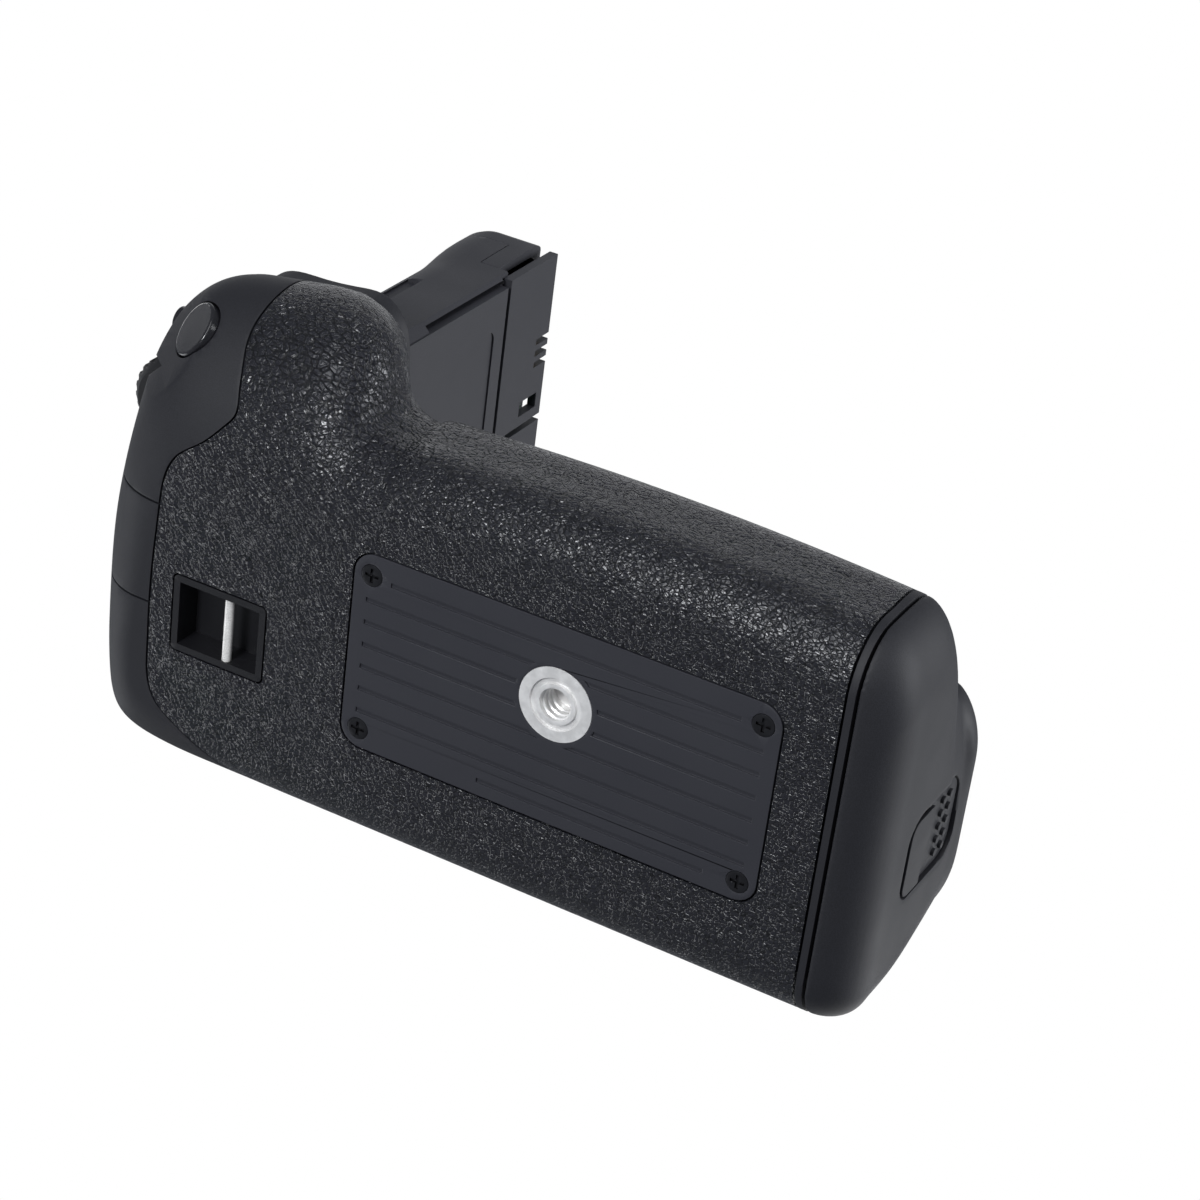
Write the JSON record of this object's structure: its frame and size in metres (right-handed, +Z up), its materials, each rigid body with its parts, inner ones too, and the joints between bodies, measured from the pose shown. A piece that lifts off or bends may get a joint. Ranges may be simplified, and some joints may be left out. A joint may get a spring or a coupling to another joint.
{
  "type": "camera battery grip",
  "caption": "Vertical camera battery grip with a slide-out magazine, portrait shutter button and dial, a battery-bay tower and a tripod socket.",
  "frame": {"origin": "centre of the tripod socket's mouth on the bottom face", "axes": "+X towards the magazine's end cap, +Y towards the rear, +Z up to the camera's base"},
  "size_m": [0.1361, 0.0804, 0.0984],
  "materials": {
    "grip_rubber": "leather-grained",
    "smooth_shell": "satin",
    "inner_shell": "matte",
    "plate_black": "fine matt",
    "steel": "turned",
    "black_screw": "blackened",
    "button_black": "polished",
    "dial_black": "knurled",
    "tower_black": "fine grain",
    "pack_grey": "smooth",
    "contact_brass": "plated",
    "board_green": "lacquered",
    "pad_rubber": "smooth"
  },
  "bodies": {
    "grip": {"rubber_grip": "grip_rubber", "shutter_cover": "smooth_shell", "middle_cover": "smooth_shell", "corner_cover": "smooth_shell", "rear_cover": "smooth_shell", "bottom_housing": "inner_shell", "end_band": "smooth_shell", "bay_liner": "inner_shell", "bay_contact_block": "inner_shell", "bottom_plate": "plate_black", "plate_screws": "black_screw", "tripod_bushing": "steel", "strap_lug": "inner_shell", "strap_bar": "steel", "shutter_switch": "inner_shell", "dial_axle": "steel", "dial_bracket": "inner_shell", "rear_button_board": "board_green", "top_housing": "smooth_shell", "top_pad": "pad_rubber", "locating_pins": "steel", "housing_screws": "black_screw", "wheel_bearing": "inner_shell", "main_board": "board_green", "tower_shell": "tower_black", "tower_tip_cap": "tower_black", "tower_label_plate": "tower_black", "tower_contact_plate": "tower_black", "tower_contacts": "contact_brass", "tower_board": "board_green"},
    "magazine": {"magazine_cap": "smooth_shell", "magazine_end_plate": "inner_shell", "magazine_tray": "inner_shell", "battery_packs": "pack_grey", "magazine_contacts": "contact_brass"},
    "lever": {"release_lever": "smooth_shell"},
    "shutter": {"shutter_button": "button_black"},
    "dial": {"main_dial": "dial_black"},
    "area": {"area_button": "button_black"},
    "lock": {"lock_button": "button_black"},
    "point": {"point_button": "button_black"},
    "focus": {"focus_button": "button_black"},
    "power": {"power_switch": "button_black"},
    "wheel": {"thumbwheel": "dial_black", "attachment_screw": "steel"}
  },
  "joints": [
    {"name": "magazine_slide", "type": "slide", "parent": "grip", "child": "magazine", "axis": [1, 0, 0], "range_m": [0, 0.115]},
    {"name": "lever_slide", "type": "slide", "parent": "magazine", "child": "lever", "axis": [0, 0, -1], "range_m": [0, 0.003], "stiffness_N_per_m": 400},
    {"name": "shutter_press", "type": "slide", "parent": "grip", "child": "shutter", "axis": [0.5634, 0.5443, 0.6215], "range_m": [0, 0.001], "stiffness_N_per_m": 400},
    {"name": "dial_turn", "type": "hinge", "parent": "grip", "child": "dial", "pos_m": [-0.077, -0.018, 0.0144], "axis": [0, 0, 1], "continuous": true},
    {"name": "area_press", "type": "slide", "parent": "grip", "child": "area", "axis": [1, 0, 0], "range_m": [0, 0.0007], "stiffness_N_per_m": 400},
    {"name": "lock_press", "type": "slide", "parent": "grip", "child": "lock", "axis": [0, -1, 0], "range_m": [0, 0.0005], "stiffness_N_per_m": 400},
    {"name": "point_press", "type": "slide", "parent": "grip", "child": "point", "axis": [0, -1, 0], "range_m": [0, 0.0005], "stiffness_N_per_m": 400},
    {"name": "focus_press", "type": "slide", "parent": "grip", "child": "focus", "axis": [0, -1, 0], "range_m": [0, 0.0005], "stiffness_N_per_m": 400},
    {"name": "power_turn", "type": "hinge", "parent": "grip", "child": "power", "pos_m": [-0.041, 0.0378, 0.024], "axis": [0, 1, 0], "range_deg": [0, 35]},
    {"name": "wheel_turn", "type": "hinge", "parent": "grip", "child": "wheel", "pos_m": [0, 0.019, 0.0336], "axis": [0, 0, 1], "continuous": true}
  ]
}
